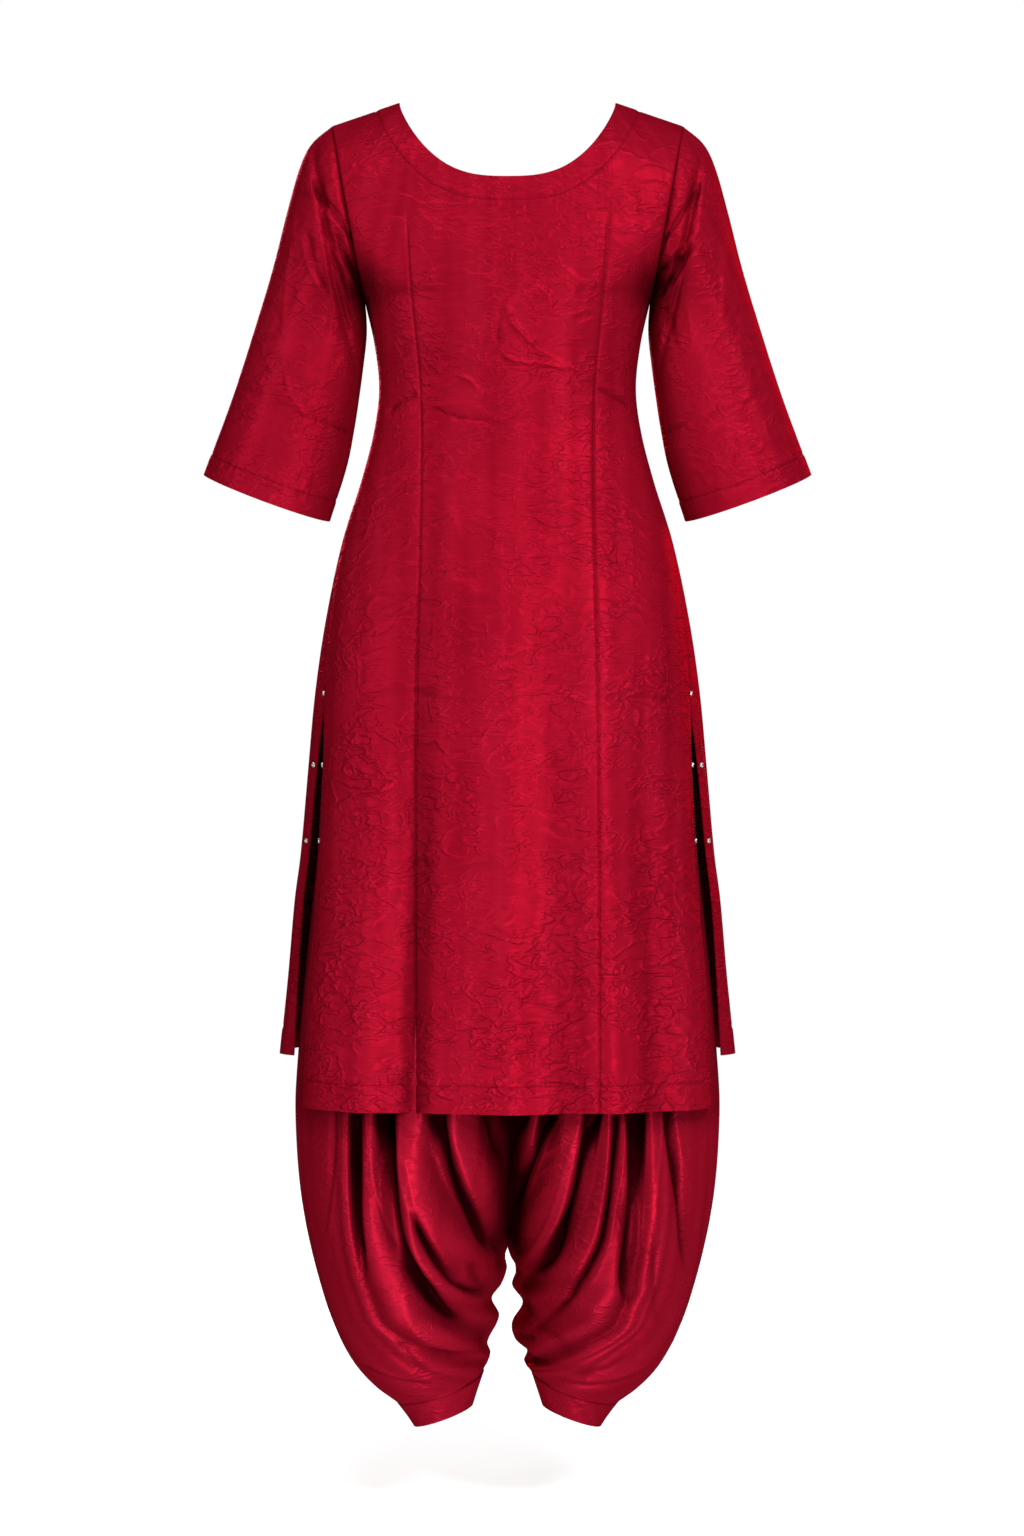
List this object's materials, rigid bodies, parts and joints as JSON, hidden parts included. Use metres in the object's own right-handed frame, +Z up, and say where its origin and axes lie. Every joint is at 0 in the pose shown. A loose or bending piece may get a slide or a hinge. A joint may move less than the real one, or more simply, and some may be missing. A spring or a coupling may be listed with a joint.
{
  "type": "salwar suit",
  "caption": "Salwar suit in worn shape: long kameez with scooped neck, flared three-quarter sleeves and side slits, over a salwar pleated full into narrow ankle cuffs.",
  "frame": {"origin": "midway between the two shoulders, on the line of the shoulder seams, where the wearer's shoulders hold the suit up", "axes": "+Z up, +Y to the wearer's front, +X to the wearer's right"},
  "size_m": [0.624, 0.3172, 1.3543],
  "materials": {
    "silk": "crisp crimson silk with a soft lustre, lightly creased",
    "stud": "polished silver-coloured metal"
  },
  "bodies": {
    "root": {"kameez_back": "silk", "kameez_front": "silk", "kameez_sleeve_left": "silk", "kameez_sleeve_right": "silk", "kameez_neck_facing_back": "silk", "kameez_neck_facing_front": "silk", "salwar_yoke": "silk", "salwar_leg_left": "silk", "salwar_leg_right": "silk", "salwar_cuff_left": "silk", "salwar_cuff_right": "silk", "stud_slit_top_left": "stud", "stud_back_upper_left": "stud", "stud_back_lower_left": "stud", "stud_front_upper_left": "stud", "stud_front_lower_left": "stud", "stud_slit_top_right": "stud", "stud_back_upper_right": "stud", "stud_back_lower_right": "stud", "stud_front_upper_right": "stud", "stud_front_lower_right": "stud"}
  },
  "joints": []
}
